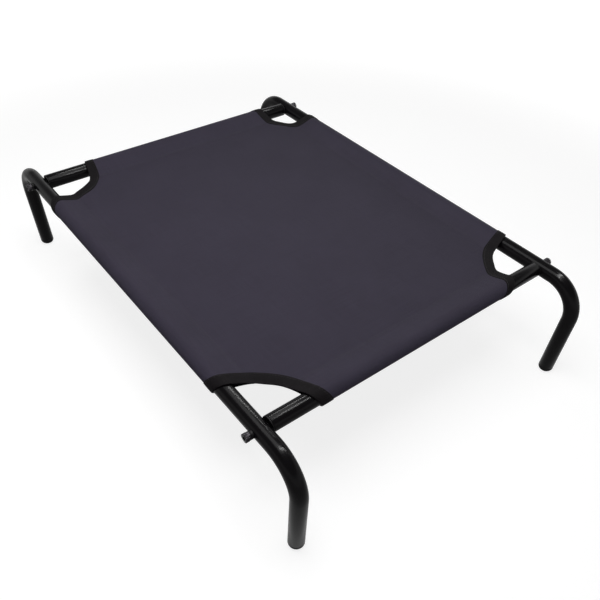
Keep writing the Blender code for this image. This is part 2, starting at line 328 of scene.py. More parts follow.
def makeTape():
    o = bindingTape
    material, tree, shader = startMaterial("bindingTape", o["colour"], o["roughness"], o["gloss"], **sheen)
    flat = addNode(tree, "ShaderNodeUVMap", uv_map="flat").outputs["UV"]
    split = addNode(tree, "ShaderNodeSeparateXYZ", {"Vector": flat})
    rib = waves(tree, split.outputs["X"], o["ribPitch"])
    thread = waves(tree, split.outputs["Y"], o["threadPitch"])
    height = mathNode(tree, "ADD", rib, mathNode(tree, "MULTIPLY", thread, o["threadShare"]))
    cloudy = mottled(tree, flat, o["colour"], o["mottleScale"], o["mottle"])
    # painted shade in the hollows and painted highlight on the ribs: the colour follows the height of the
    # weave
    toned(tree, shader, cloudy, mapRange(tree, height, -1.3, 1.0, *o["paintedShadeAndHighlight"]))
    bumpFrom(tree, shader, height, o["ribStrength"], o["ribDepth"])
    return material


grained = {                  # colour, roughness from and to, grains a metre, their depth, gloss, metallic
    "mouldedPlastic": ((0.0048, 0.0044, 0.0050), 0.42, 0.58, 1400.0, 0.00005, 0.09, 0.0),
    "blackOxide": ((0.018, 0.016, 0.019), 0.32, 0.46, 1800.0, 0.00003, 0.5, 0.8),
    "zincPlate": ((0.52, 0.53, 0.56), 0.25, 0.42, 900.0, 0.00003, 0.5, 1.0),
    "clothThread": ((0.032, 0.029, 0.040), 0.6, 0.75, 2500.0, 0.00005, 0.2, 0.0),
    "tapeThread": ((0.007, 0.0065, 0.007), 0.5, 0.65, 2500.0, 0.00005, 0.3, 0.0),
}


def makeGrained(name):
    # moulded plastic, thread or a plated metal: fine grain, cloudy gloss
    colour, roughLow, roughHigh, scale, depth, gloss, metallic = grained[name]
    material, tree, shader = startMaterial(name, colour, roughHigh, gloss, Metallic=metallic)
    coords = addNode(tree, "ShaderNodeTexCoord").outputs["Object"]
    tree.links.new(mottled(tree, coords, colour, scale / 8, 0.15), shader.inputs["Base Color"])
    bumpFrom(tree, shader, noiseNode(tree, coords, scale, 3.0), 0.4, depth)
    cloudyGloss(tree, shader, coords, scale / 12, 2.0, roughLow, roughHigh)
    return material


coat = makePowderCoat()
cloth = makeCloth()
tape = makeTape()
plastic, blackOxide, zinc, clothThread, tapeThread = [makeGrained(name) for name in grained]
print("finishes made")


# Tubes: a Geometry Nodes sweep along a path, then a wall, soft rims and drilled holes

tube = {
    "wall": 0.0012,
    "bendRadius": 0.058,
    "bendSteps": 20,
    "sides": 64,
    "barPoints": 9,          # along a cross tube
    "rimRound": 0.0003,
    "holeRadius": 0.0045,
    "holeSides": 32,
}


def startTree(name, inputs, output):
    # a Geometry Nodes tree with named inputs, and the sockets that give them
    tree = bpy.data.node_groups.new(name, "GeometryNodeTree")
    for label, kind in inputs.items():
        tree.interface.new_socket(label, in_out="INPUT", socket_type=f"NodeSocket{kind}")
    tree.interface.new_socket(output, in_out="OUTPUT", socket_type="NodeSocketGeometry")
    return tree, tree.nodes.new("NodeGroupInput").outputs


def endTree(tree, output, geometry, finish):
    done = outOf(tree, "GeometryNodeSetMaterial", {"Geometry": geometry, "Material": finish})
    addNode(tree, "NodeGroupOutput", {output: done})
    return tree


def makeSweepTree():
    inputs = {"Path": "Geometry", "Radius": "Float", "Sides": "Int", "Finish": "Material"}
    tree, given = startTree("tubeAlongPath", inputs, "Tube")
    line = outOf(tree, "GeometryNodeMeshToCurve", {"Mesh": given["Path"]})
    circle = {"Resolution": given["Sides"], "Radius": given["Radius"]}
    ring = outOf(tree, "GeometryNodeCurvePrimitiveCircle", circle)
    swept = outOf(tree, "GeometryNodeCurveToMesh", {"Curve": line, "Profile Curve": ring})
    real = outOf(tree, "GeometryNodeRealizeInstances", {"Geometry": swept})
    return endTree(tree, "Tube", real, given["Finish"])


def addTreeModifier(obj, tree, **values):
    # sets each named input by its socket's identifier before the object is evaluated
    step = obj.modifiers.new("nodes", "NODES")
    step.node_group = tree
    for item in tree.interface.items_tree:
        if item.item_type == "SOCKET" and item.in_out == "INPUT" and item.name in values:
            step[item.identifier] = values[item.name]
    return step


def addPath(name, points):
    mesh = bpy.data.meshes.new(name)
    mesh.from_pydata([tuple(p) for p in points], [(k, k + 1) for k in range(len(points) - 1)], [])
    obj = bpy.data.objects.new(name, mesh)
    bpy.context.scene.collection.objects.link(obj)
    return obj


def drilled(obj, spot, radius, reach):
    # cuts a round hole along X through the tube
    n = tube["holeSides"]
    bit = turnedPoints([(radius, -reach), (radius, reach)], n)
    points = [(spot[0] + z, spot[1] + y, spot[2] + x) for x, y, z in bit]
    faces = loopsToFaces(2, n) + [tuple(range(n)), tuple(range(n, 2 * n))]
    drill = addMesh("drill", points, faces, coat)
    recalculated(drill)
    addModifier(obj, "BOOLEAN", operation="DIFFERENCE", solver="EXACT", object=drill)
    makePlain(obj)
    bpy.data.objects.remove(drill)


def recalculated(obj):
    # closed mesh with its faces pointing out
    bm = bmesh.new()
    bm.from_mesh(obj.data)
    bmesh.ops.recalc_face_normals(bm, faces=bm.faces)
    bm.to_mesh(obj.data)
    bm.free()
    return obj


sweepTree = makeSweepTree()


def makeTube(name, points):
    obj = addPath(name, points)
    addTreeModifier(obj, sweepTree, Radius=tubeRadius, Sides=tube["sides"], Finish=coat)
    makePlain(obj)
    recalculated(obj)
    addModifier(obj, "SOLIDIFY", thickness=tube["wall"], offset=-1.0, use_even_offset=True)
    rim = {"limit_method": "ANGLE", "angle_limit": math.radians(60)}
    addModifier(obj, "BEVEL", width=tube["rimRound"], segments=2, **rim)
    return makePlain(obj)


def sidePath(sx):
    # up one leg, along the rail and down the other leg
    bend, steps = tube["bendRadius"], tube["bendSteps"]
    half = [(sx * sideX, legY, legFoot)]
    for n in range(steps + 1):
        angle = math.pi / 2 * n / steps
        half.append((sx * sideX, legY - bend + bend * math.cos(angle), axisZ - bend + bend * math.sin(angle)))
    return half + [(x, -y, z) for x, y, z in reversed(half)]


for side, sx in bothSides:
    rail = makeTube(f"{side}Rail", sidePath(sx))
    for sy in (-1, 1):
        drilled(rail, (sx * sideX, sy * crossY, axisZ), tube["holeRadius"], 2 * tubeRadius)
    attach(rail, "frame")
    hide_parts(f"{side}_side_tube")
for end, sy in bothEnds:
    places = np.linspace(-crossEnd, crossEnd, tube["barPoints"])
    bar = makeTube(f"{end}CrossBar", [(x, sy * crossY, axisZ) for x in places])
    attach(bar, "frame")
    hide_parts(f"{end}_cross_tube")
print("tubes made")


# Sling: one cloth, flat between its seams and led round the four tubes

sling = {
    "thickness": 0.0010,
    "slack": 0.0008,         # between the tube and the cloth
    "seamInset": 0.036,      # from a tube's axis to the seam
    "softening": 0.006,      # half length of the soft bend at the seam
    "hemDrop": 0.0011,       # the hem lies under the panel
    "hemPast": 0.003,
    "bendSteps": 8,          # steps of the section: bend, run to the tube, wrap and run to the hem
    "leadSteps": 6,
    "wrapSteps": 24,
    "hemSteps": 7,
    "cutRadius": 0.123,
    "cutOffset": 0.032,
    "cutLean": 0.4,
    "cellsAcross": 36,
    "cellsAlong": 46,
    "cellsCorner": 8,
    "ripple": 0.00035,       # height of the slow waves in the panel
    "rippleFrom": 0.10,      # metres from the seams at which they are full
    "pucker": 0.00030,       # height of the gathers beside the seams
    "puckerFade": 0.014,
    "slideLeft": 0.014,      # how far the rear sleeve slid to the right on its tube, at its left end
    "slideRight": 0.007,
    "slideReach": 0.10,      # how far into the panel this can be felt
}


def sleeveSection():
    # rows of (inward, up, normal inward, normal up), from the flat panel over the tube to the hem
    o = sling
    r = tubeRadius + o["slack"] + o["thickness"] / 2
    tip, soft = o["seamInset"], o["softening"]
    leave = math.acos(r / tip)
    slope = math.pi / 2 - leave
    bend = soft / math.tan(slope / 2)
    rows = []
    for n in range(o["bendSteps"] + 1):
        turn = slope * n / o["bendSteps"]
        nIn, nUp = -math.sin(turn), math.cos(turn)
        rows.append((tip + soft + bend * nIn, bend * (1 - nUp), nIn, nUp))
    start = Vector(rows[-1][:2])
    touch = Vector((r * math.cos(leave), r * math.sin(leave)))
    for n in range(1, o["leadSteps"]):
        p = start.lerp(touch, n / o["leadSteps"])
        rows.append((p.x, p.y, -math.sin(slope), math.cos(slope)))
    hemTip = Vector((tip, -o["hemDrop"]))
    leaveLow = math.atan2(hemTip.y, hemTip.x) - math.acos(r / hemTip.length)
    total = math.tau + leaveLow - leave
    for n in range(o["wrapSteps"] + 1):
        angle = leave + total * n / o["wrapSteps"]
        rows.append((r * math.cos(angle), r * math.sin(angle), math.cos(angle), math.sin(angle)))
    low = Vector((r * math.cos(leaveLow), r * math.sin(leaveLow)))
    under = (math.cos(leaveLow), math.sin(leaveLow))
    for n in range(1, o["hemSteps"]):
        p = low.lerp(hemTip, n / o["hemSteps"])
        rows.append((p.x, p.y, *under))
    rows.append((hemTip.x, hemTip.y, 0.0, -1.0))
    rows.append((hemTip.x + o["hemPast"], hemTip.y, 0.0, -1.0))
    return rows


section = sleeveSection()
sectionLength = [0.0]
for a, b in zip(section, section[1:]):
    sectionLength.append(sectionLength[-1] + math.hypot(b[0] - a[0], b[1] - a[1]))


def cutAt(inward, up, radius):
    # how far along a tube from the crossing the corner cut leaves its sleeve
    o = sling
    reach = o["cutOffset"] + o["cutLean"] * up
    return math.sqrt(radius * radius - (inward + reach) ** 2) - reach


def onCloth(kind, data, radius, lift):
    # a point of the cloth in the corner's quarter and the way out of it, lifted off its middle
    # kind is side or end with a row of the section, or arc with 0 to 1 along the cut
    o = sling
    if kind == "arc":
        reach = o["cutOffset"] + o["cutLean"] * lift
        level = reach + section[0][0]
        first = math.atan2(math.sqrt(radius * radius - level * level), level)
        angle = first + (math.pi / 2 - 2 * first) * data
        x = sideX + reach - radius * math.cos(angle)
        y = crossY + reach - radius * math.sin(angle)
        return (x, y, axisZ + lift), (0.0, 0.0, 1.0)
    inward, up, nIn, nUp = data
    inward, up = inward + nIn * lift, up + nUp * lift
    run = cutAt(inward, up, radius)
    if kind == "side":
        return (sideX - inward, crossY - run, axisZ + up), (-nIn, 0.0, nUp)
    return (sideX - run, crossY - inward, axisZ + up), (0.0, -nIn, nUp)


def smoothStep(value):
    value = min(1.0, max(0.0, value))
    return value * value * (3 - 2 * value)


def settled(spot):
    # the place of a point of the cloth after its rear sleeve slid along the cross tube
    o = sling
    x, y, z = spot
    seam = crossY - section[0][0]
    free = sideX - cutAt(section[0][0], 0.0, o["cutRadius"])
    held = sideX - section[0][0]
    felt = smoothStep((y - seam) / o["slideReach"] + 1) * (1 - smoothStep((abs(x) - free) / (held - free)))
    share = min(1.0, max(0.0, 0.5 - x / (2 * free)))
    slide = o["slideRight"] + (o["slideLeft"] - o["slideRight"]) * share
    return (x + slide * felt, y, z)


def panelWave(x, y):
    # slow waves and small gathers that a stretched cloth keeps, none at the seams themselves
    o = sling
    fromSide = sideX - o["seamInset"] - abs(x)
    fromEnd = crossY - o["seamInset"] - abs(y)
    edge = max(0.0, min(fromSide, fromEnd))
    slow = math.sin(9.1 * x + 0.7) * math.sin(7.3 * y + 1.9) + 0.6 * math.sin(17.0 * x - 11.0 * y + 0.4)
    wave = o["ripple"] * slow * smoothStep(edge / o["rippleFrom"])
    fade = o["puckerFade"]
    gather = math.sin(x * 171.0 + 2.0 * math.sin(x * 37.0)) * math.exp(-max(fromEnd, 0.0) / fade)
    gather += math.sin(y * 163.0 + 2.0 * math.sin(y * 31.0)) * math.exp(-max(fromSide, 0.0) / fade)
    return wave + o["pucker"] * gather * smoothStep(edge / o["softening"])


def makeSling():
    o = sling
    flatX, flatY = sideX - section[0][0], crossY - section[0][0]
    cutX = sideX - cutAt(section[0][0], 0.0, o["cutRadius"])
    cutY = crossY - cutAt(section[0][0], 0.0, o["cutRadius"])
    nA, nB, k = o["cellsAcross"], o["cellsAlong"], o["cellsCorner"]
    rows = len(section)
    centre = np.array([sideX + o["cutOffset"], crossY + o["cutOffset"]])
    fromAngle = math.atan2(centre[1] - cutY, centre[0] - flatX)
    toAngle = math.atan2(centre[1] - flatY, centre[0] - cutX)
    points, uv, index = [], [], {}

    def place(i, j):
        I, J = abs(i), abs(j)
        si, sj = (1 if i >= 0 else -1), (1 if j >= 0 else -1)
        if I <= nA + k and J <= nB + k:
            u = cutX * I / nA if I <= nA else cutX + (flatX - cutX) * (I - nA) / k
            v = cutY * J / nB if J <= nB else cutY + (flatY - cutY) * (J - nB) / k
            if I > nA and J > nB:
                a, b = I - nA, J - nB
                if a + b > k:
                    return None
                t = b / (a + b)
                angle = fromAngle + (toAngle - fromAngle) * t
                arc = centre - o["cutRadius"] * np.array([math.cos(angle), math.sin(angle)])
                chord = np.array([flatX + (cutX - flatX) * t, cutY + (flatY - cutY) * t])
                u, v = np.array([u, v]) + (arc - chord) * (a + b) / k
            x, y = si * u, sj * v
            return (x, y, axisZ + panelWave(x, y)), (x, y)
        if J <= nB:
            n = I - nA - k
            inward, up = section[n][:2]
            y = sj * J / nB * (crossY - cutAt(inward, up, o["cutRadius"]))
            return (si * (sideX - inward), y, axisZ + up), (si * (flatX + sectionLength[n]), y)
        if I <= nA:
            n = J - nB - k
            inward, up = section[n][:2]
            x = si * I / nA * (sideX - cutAt(inward, up, o["cutRadius"]))
            return (x, sj * (crossY - inward), axisZ + up), (x, sj * (flatY + sectionLength[n]))
        return None

    lastI, lastJ = nA + k + rows - 1, nB + k + rows - 1
    for i in range(-lastI, lastI + 1):
        for j in range(-lastJ, lastJ + 1):
            if abs(i) > nA + k and abs(j) > nB:
                continue
            if abs(j) > nB + k and abs(i) > nA:
                continue
            spot = place(i, j)
            if spot is None:
                continue
            index[i, j] = len(points)
            points.append(settled(spot[0]))
            uv.append(spot[1])
    faces = []
    for i in range(-lastI, lastI):
        for j in range(-lastJ, lastJ):
            ring = [index.get(key) for key in ((i, j), (i + 1, j), (i + 1, j + 1), (i, j + 1))]
            found = [n for n in ring if n is not None]
            if len(found) >= 3:
                faces.append(found)
    obj = addMesh("slingCloth", points, faces, cloth, uv)
    area = sum(p.area for p in obj.data.polygons)
    addModifier(obj, "SOLIDIFY", thickness=o["thickness"], offset=0.0, use_even_offset=False)
    makePlain(obj)
    size = (2 * (flatX + sectionLength[-1]), 2 * (flatY + sectionLength[-1]))
    return obj, size, area


slingCloth, flatSize, flatArea = makeSling()
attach(slingCloth, "frame")
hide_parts("sling")
print("sling made, flat size", [round(v, 4) for v in flatSize], "area", round(flatArea, 4))


# Bindings: tape folded over each cut edge and led round both sleeves

binding = {
    "widths": {"front_left": 0.0205, "front_right": 0.0175, "rear_left": 0.0165, "rear_right": 0.016},
    "fold": 0.0012,          # how far the tape stands past the cloth's edge
    "rise": 0.0015,          # from the middle of the cloth to the tape's face
    "backRise": 0.0008,      # the same at the back where a sleeve lies on its tube
    "backTurn": 0.003,       # how far the tape is turned in there
    "arcSteps": 30,
    "smoothAngle": 50,
    "sway": 0.0004,          # how far the tape wanders from the cut's line
    "seam": 0.0024,          # from the tape's inner border to its stitches
    "dip": 0.80,             # how high the tape is at its stitches, as a share of its rise
}


def tapeProfile(w, inner):
    # closed loop of (inwards from the open edge, lift) for a tape of width w
    # inner is 1 where the tape also covers the back
    f, h = binding["fold"], binding["rise"]
    near = sling["thickness"] / 2 + 0.00004
    back = h * inner + (1 - inner) * binding["backRise"]
    backWidth = w * inner + (1 - inner) * binding["backTurn"]
    return [
        (w, near), (w + 0.0001, h * 0.66), (w - 0.0004, h * 0.95), (w - 0.0014, h * 0.98),
        (w - binding["seam"], h * binding["dip"]), (w - 0.0036, h), (w * 0.6, h * 1.06), (w * 0.3, h * 1.06),
        (0.0016, h * 1.02), (0.0006, h * 0.9), (0.0001, h * 0.5), (0.0, 0.0), (0.0001, -back * 0.5),
        (0.0006, -back * 0.9), (0.0016, -back), (backWidth * 0.5, -back), (backWidth - 0.0006, -back),
        (backWidth, -back * 0.8), (backWidth, -near), (backWidth * 0.6, -near), (f - 0.0001, -near),
        (f - 0.0001, near), (w * 0.5, near),
    ]


def tapeStations():
    # from the side sleeve's hem over its tube, along the cut and round to the end sleeve's hem
    arc = [("arc", n / binding["arcSteps"]) for n in range(1, binding["arcSteps"])]
    return [("side", row) for row in reversed(section)] + arc + [("end", row) for row in section]


def makeBinding(corner, sx, sy):
    edge = sling["cutRadius"] - binding["fold"]
    points, uv, along, before = [], [], 0.0, None
    stations = tapeStations()
    for kind, data in stations:
        inner = smoothStep(min(data, 1 - data) * binding["arcSteps"] / 2) if kind == "arc" else 0.0
        sway = binding["sway"] * math.sin(along * 88.0 + 2.1 * sx + 1.3 * sy)
        loop = []
        for inwards, lift in tapeProfile(binding["widths"][corner], inner):
            (x, y, z), _ = onCloth(kind, data, edge + inwards + sway, lift)
            loop.append(settled((sx * x, sy * y, z)))
        middle = Vector(loop[4])
        along += (middle - before).length if before is not None else 0.0
        before = middle
        across = 0.0
        for n, p in enumerate(loop):
            across += (Vector(p) - Vector(loop[n - 1])).length if n else 0.0
            uv.append((along, across))
        points += loop
    count = len(loop)
    faces = loopsToFaces(len(stations), count)
    faces.append(tuple(range(count)))
    faces.append(tuple(reversed(range(len(points) - count, len(points)))))
    obj = addMesh(f"{corner}_binding", points, faces, tape, uv, binding["smoothAngle"])
    recalculated(obj)
    return obj


for corner, sx, sy in corners:
    piece = makeBinding(corner, sx, sy)
    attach(piece, "frame")
    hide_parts(f"{corner}_corner_binding")
print("bindings made")


# Stitches: Geometry Nodes set short threads along guide lines on the cloth and the tape

stitch = {
    "pitch": 0.0042,
    "length": 0.0031,
    "width": 0.00062,
    "height": 0.00050,
    "lift": 0.00008,         # of their middle, above the cloth or the tape
    "liftUnder": 0.00005,    # the same on the tape's back
    "askew": (0.0, 0.03, 0.07),  # the most that one turns about each axis, in radians
    "seed": 7,
    "rows": (-0.0016, 0.0016),   # two rows beside each sleeve's seam
    "guidePoints": 60,
    "smoothAngle": 60,
}


def makeStitchTree():
    inputs = {"Seam": "Geometry", "Pitch": "Float", "Length": "Float", "Width": "Float", "Height": "Float",
              "Seed": "Int", "Finish": "Material"}
    tree, given = startTree("stitchesAlongSeam", inputs, "Stitches")
    line = outOf(tree, "GeometryNodeMeshToCurve", {"Mesh": given["Seam"]})
    spacing = {"Curve": line, "Length": given["Pitch"]}
    spaced = outOf(tree, "GeometryNodeResampleCurve", spacing, mode="LENGTH")

    # laid along the seam, standing on the cloth, each a little askew
    out = addNode(tree, "GeometryNodeInputNamedAttribute", {"Name": "out"}, data_type="FLOAT_VECTOR")
    along = outOf(tree, "GeometryNodeInputTangent")
    axes = {"Primary Axis": out.outputs["Attribute"], "Secondary Axis": along}
    angle = outOf(tree, "FunctionNodeAxesToRotation", axes, primary_axis="Z", secondary_axis="X")
    limits = {"Min": tuple(-v for v in stitch["askew"]), "Max": stitch["askew"], "Seed": given["Seed"]}
    sway = addNode(tree, "FunctionNodeRandomValue", limits, data_type="FLOAT_VECTOR")
    turn = outOf(tree, "FunctionNodeEulerToRotation", {"Euler": sway.outputs["Value"]})
    turns = {"Rotation": angle, "Rotate By": turn}
    both = outOf(tree, "FunctionNodeRotateRotation", turns, rotation_space="LOCAL")

    # one stitch is a squeezed ball
    ball = outOf(tree, "GeometryNodeMeshUVSphere", {"Segments": 8, "Rings": 5, "Radius": 0.5})
    sizes = {"X": given["Length"], "Y": given["Width"], "Z": given["Height"]}
    size = outOf(tree, "ShaderNodeCombineXYZ", sizes)
    thread = outOf(tree, "GeometryNodeTransform", {"Geometry": ball, "Scale": size})
    laying = {"Points": spaced, "Instance": thread, "Rotation": both}
    laid = outOf(tree, "GeometryNodeInstanceOnPoints", laying)
    real = outOf(tree, "GeometryNodeRealizeInstances", {"Geometry": laid})
    smooth = outOf(tree, "GeometryNodeSetShadeSmooth", {"Geometry": real})
    return endTree(tree, "Stitches", smooth, given["Finish"])


stitchTree = makeStitchTree()


def sewn(name, seams, finish):
    # seams are lists of (point, way out); all of them become one plain mesh
    points, edges, ways = [], [], []
    for seam in seams:
        edges += [(len(points) + k, len(points) + k + 1) for k in range(len(seam) - 1)]
        points += [p for p, _ in seam]
        ways += [w for _, w in seam]
    mesh = bpy.data.meshes.new(name)
    mesh.from_pydata(points, edges, [])
    wayOut = mesh.attributes.new("out", "FLOAT_VECTOR", "POINT")
    wayOut.data.foreach_set("vector", np.array(ways, np.float32).ravel())
    obj = bpy.data.objects.new(name, mesh)
    bpy.context.scene.collection.objects.link(obj)
    o = stitch
    sizes = {key.capitalize(): o[key] for key in ("pitch", "length", "width", "height", "seed")}
    addTreeModifier(obj, stitchTree, **sizes, Finish=finish)
    makePlain(obj, o["smoothAngle"])
    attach(obj, "frame")
    return obj


def sectionRow(inward):
    # the section's row at that distance inward from the tube, on its upper side
    for a, b in zip(section, section[1:]):
        if b[0] <= inward <= a[0]:
            t = (a[0] - inward) / (a[0] - b[0])
            return tuple(p + (q - p) * t for p, q in zip(a, b))
    return section[0]


def sleeveSeams():
    lift = sling["thickness"] / 2 + stitch["lift"]
    under = (sling["seamInset"], -sling["hemDrop"], 0.0, -1.0)
    stop = sling["cutRadius"] + min(binding["widths"].values())
    seams = []
    for row in [sectionRow(sling["seamInset"] + shift) for shift in stitch["rows"]] + [under]:
        for kind, sign in (("side", -1), ("side", 1), ("end", -1), ("end", 1)):
            (x, y, z), (wx, wy, wz) = onCloth(kind, row, stop, lift)
            seam = []
            for t in np.linspace(-1, 1, stitch["guidePoints"]):
                here = (sign * x, t * y, z) if kind == "side" else (t * x, sign * y, z)
                seam.append((settled(here), (sign * wx, sign * wy, wz)))
            seams.append(seam)
    return seams


def tapeSeam(corner, sx, sy):
    edge = sling["cutRadius"] - binding["fold"] + binding["widths"][corner] - binding["seam"]
    seam = []
    for kind, data in tapeStations():
        (x, y, z), (wx, wy, wz) = onCloth(kind, data, edge, binding["rise"] * binding["dip"] + stitch["lift"])
        seam.append((settled((sx * x, sy * y, z)), (sx * wx, sy * wy, wz)))
    under = []
    for n in range(2, 2 * binding["arcSteps"] - 3):
        share = n / (2 * binding["arcSteps"])
        (x, y, z), _ = onCloth("arc", share, edge, -binding["rise"] - stitch["liftUnder"])
        under.append((settled((sx * x, sy * y, z)), (0.0, 0.0, -1.0)))
    return [seam, under]


clothStitches = sewn("clothStitches", sleeveSeams(), clothThread)
tapeSeams = [seam for where in corners for seam in tapeSeam(*where)]
tapeStitches = sewn("tapeStitches", tapeSeams, tapeThread)
print("stitches made")


# Fasteners, washers, plugs and feet

nearAxis = 0.0004            # radius of the small flats that close a turned piece on its axis
stemRadius = tubeRadius - tube["wall"] - clearance

bolt = {
    "shank": 0.004,
    "head": 0.0065,
    "headHeight": 0.008,
    "headSeat": tubeRadius + 0.0036,   # from the side tube's axis
    "length": 0.045,
    "key": 0.006,
    "keyDepth": 0.004,
    "sides": 48,
    "knurls": 30,
    "knurlLength": 0.0052,
    "knurlSize": 0.00036,
    "knurlDepth": 0.00025,   # how far the head is turned down for its ridges
    "edgeRound": 0.0016,
    "tipChamfer": 0.0008,
    "underHead": 0.0004,     # fillet between the shank and the head
    "headEdge": 0.0003,
    "keyLead": 0.0004,       # depth of the flare round the key's socket
    "keyFlare": 0.62,        # its radius, as a share of the key's width
    "keyCone": 0.0012,       # depth of the drilled point below the socket
}


def makeKnurlTree():
    # straight ridges set round a head, joined with the piece itself
    inputs = {"Piece": "Geometry", "Ring Radius": "Float", "Ridge Size": "Float", "Ridge Length": "Float",
              "Height": "Float", "Count": "Int", "Finish": "Material"}
    tree, given = startTree("knurledHead", inputs, "Knurled")
    circle = {"Resolution": given["Count"], "Radius": given["Ring Radius"]}
    ring = outOf(tree, "GeometryNodeCurvePrimitiveCircle", circle)
    spots = addNode(tree, "GeometryNodeCurveToPoints", {"Curve": ring, "Count": given["Count"]}, mode="COUNT")
    bar = {"Vertices": 6, "Side Segments": 1, "Radius Top": given["Ridge Size"],
           "Radius Bottom": given["Ridge Size"], "Depth": given["Ridge Length"]}
    ridge = outOf(tree, "GeometryNodeMeshCone", bar)
    axes = {"Primary Axis": (0.0, 0.0, 1.0), "Secondary Axis": spots.outputs["Normal"]}
    angle = outOf(tree, "FunctionNodeAxesToRotation", axes, primary_axis="Z", secondary_axis="X")
    setting = {"Points": spots.outputs["Points"], "Instance": ridge, "Rotation": angle}
    ridges = outOf(tree, "GeometryNodeInstanceOnPoints", setting)
    lift = outOf(tree, "ShaderNodeCombineXYZ", {"Z": given["Height"]})
    raised = outOf(tree, "GeometryNodeTransform", {"Geometry": ridges, "Translation": lift})
    real = outOf(tree, "GeometryNodeRealizeInstances", {"Geometry": raised})
    joined = tree.nodes.new("GeometryNodeJoinGeometry")
    tree.links.new(real, joined.inputs[0])
    tree.links.new(given["Piece"], joined.inputs[0])
    return endTree(tree, "Knurled", joined.outputs[0], given["Finish"])


knurlTree = makeKnurlTree()


def moved(obj, change):
    # applies a change of place to the mesh, so that the object stays at the origin
    count = len(obj.data.vertices)
    flat = np.zeros(count * 3)
    obj.data.vertices.foreach_get("co", flat)
    placed = np.array(change([tuple(p) for p in flat.reshape(-1, 3)]))
    obj.data.vertices.foreach_set("co", placed.ravel())
    obj.data.update()
    return obj


def quarterRound(radius, height, size, steps, fromFlat=False):
    # profile points round an outer edge: up its side to the top, or from the flat below up to its side
    points = []
    for step in range(steps + 1):
        angle = math.pi / 2 * step / steps
        over, under = size * (1 - math.cos(angle)), size * (1 - math.sin(angle))
        points.append((radius - under, height + over) if fromFlat else (radius - over, height - under))
    return points


def makeBolt(corner, sx, sy):
    o = bolt
    n, seat = o["sides"], o["headSeat"]
    top, tip = seat + o["headHeight"], seat - o["length"]
    shank, head = o["shank"], o["head"] - o["knurlDepth"]
    chamfer, fillet, edge = o["tipChamfer"], o["underHead"], o["headEdge"]
    profile = [(nearAxis, tip), (shank - chamfer, tip), (shank, tip + chamfer), (shank, seat - fillet)]
    profile += [(shank + fillet, seat), (head - edge, seat), (head, seat + edge)]
    profile += quarterRound(head, top, o["edgeRound"], 5)
    profile.append((o["key"] * o["keyFlare"], top))
    points = turnedPoints(profile, n)
    points += hexLoop(o["key"], top - o["keyLead"], n) + hexLoop(o["key"], top - o["keyDepth"], n)
    points += turnedPoints([(nearAxis, top - o["keyDepth"] - o["keyCone"])], n)
    loops = len(profile) + 3
    obj = addMesh(f"{corner}_capScrew", points, cappedFaces(loops, n), blackOxide)
    addTreeModifier(obj, knurlTree, **{
        "Ring Radius": head, "Ridge Size": o["knurlSize"], "Ridge Length": o["knurlLength"],
        "Height": seat + 0.0005 + o["knurlLength"] / 2, "Count": o["knurls"], "Finish": blackOxide})
    makePlain(obj)
    moved(obj, lambda p: outOfBed(p, sx, sy))
    return recalculated(obj)


washer = {
    "radius": 0.00625,
    "seat": tubeRadius + clearance,
    "thickness": 0.003,
    "bore": 0.0043,
    "sides": 64,
    "round": 0.0005,
    "lipRound": 0.0002,
    "lipSwell": 1.03,        # how much wider its side is than the hollowed face's border
    "boreRound": 0.0004,
}


def makeWasher(corner, sx, sy):
    # a round washer, hollowed below to sit on the tube
    o, n = washer, washer["sides"]
    top, soft = o["seat"] + o["thickness"], o["round"]
    lip, swell, edge = o["lipRound"], o["lipSwell"], o["boreRound"]

    def saddle(r):
        loop = []
        for k in range(n):
            x, y = r * math.cos(math.tau * k / n), r * math.sin(math.tau * k / n)
            loop.append((x, y, math.sqrt(o["seat"] ** 2 - x * x)))
        return loop

    rim = saddle(o["radius"] - lip)
    points = saddle(o["bore"]) + rim + [(x * swell, y * swell, z + lip) for x, y, z in rim]
    r, bore = o["radius"], o["bore"]
    profile = [(r, top - soft), (r - soft * 0.3, top - soft * 0.3), (r - soft, top)]
    profile += [(bore + edge, top), (bore, top - edge)]
    points += turnedPoints(profile, n)
    obj = addMesh(f"{corner}_saddle", points, loopsToFaces(len(points) // n, n, True), plastic)
    moved(obj, lambda p: outOfBed(p, sx, sy))
    return recalculated(obj)


plug = {
    "flange": 0.002,
    "length": 0.024,
    "web": 0.004,
    "nutWidth": 0.0136,
    "bore": 0.0043,
    "sides": 48,
    "round": 0.0004,
    "leadIn": 0.0006,
}


def makePlug(corner, sx, sy):
    # end plug of a cross tube, with a pocket for the nut at its inner end
    o, n = plug, plug["sides"]
    face = tubeRadius + clearance
    back = face + o["flange"]
    tip, pocket = back + o["length"], back + o["web"]
    r, lead = o["round"], o["leadIn"]
    profile = [(stemRadius - lead, -tip), (stemRadius, -tip + lead), (stemRadius, -back)]
    profile += [(tubeRadius - r, -back), (tubeRadius, -back + r * 0.6), (tubeRadius, -face - r)]
    profile += [(tubeRadius - r, -face), (o["bore"], -face), (o["bore"], -pocket)]
    points = turnedPoints(profile, n) + hexLoop(o["nutWidth"], -pocket, n) + hexLoop(o["nutWidth"], -tip, n)
    obj = addMesh(f"{corner}_plug", points, loopsToFaces(len(profile) + 2, n, True), plastic)
    moved(obj, lambda p: outOfBed(p, sx, sy))
    return recalculated(obj)


foot = {
    "round": 0.008,
    "flange": 0.0095,
    "stem": 0.018,
    "stemWall": 0.0025,
    "sides": 64,
    "leadIn": 0.0006,
    "groove": [(0.0036, 0.0), (0.0039, 0.0003), (0.0045, 0.0003), (0.0048, 0.0)],   # in its underside
    "brim": 0.0004,
    "stemRound": 0.001,
}


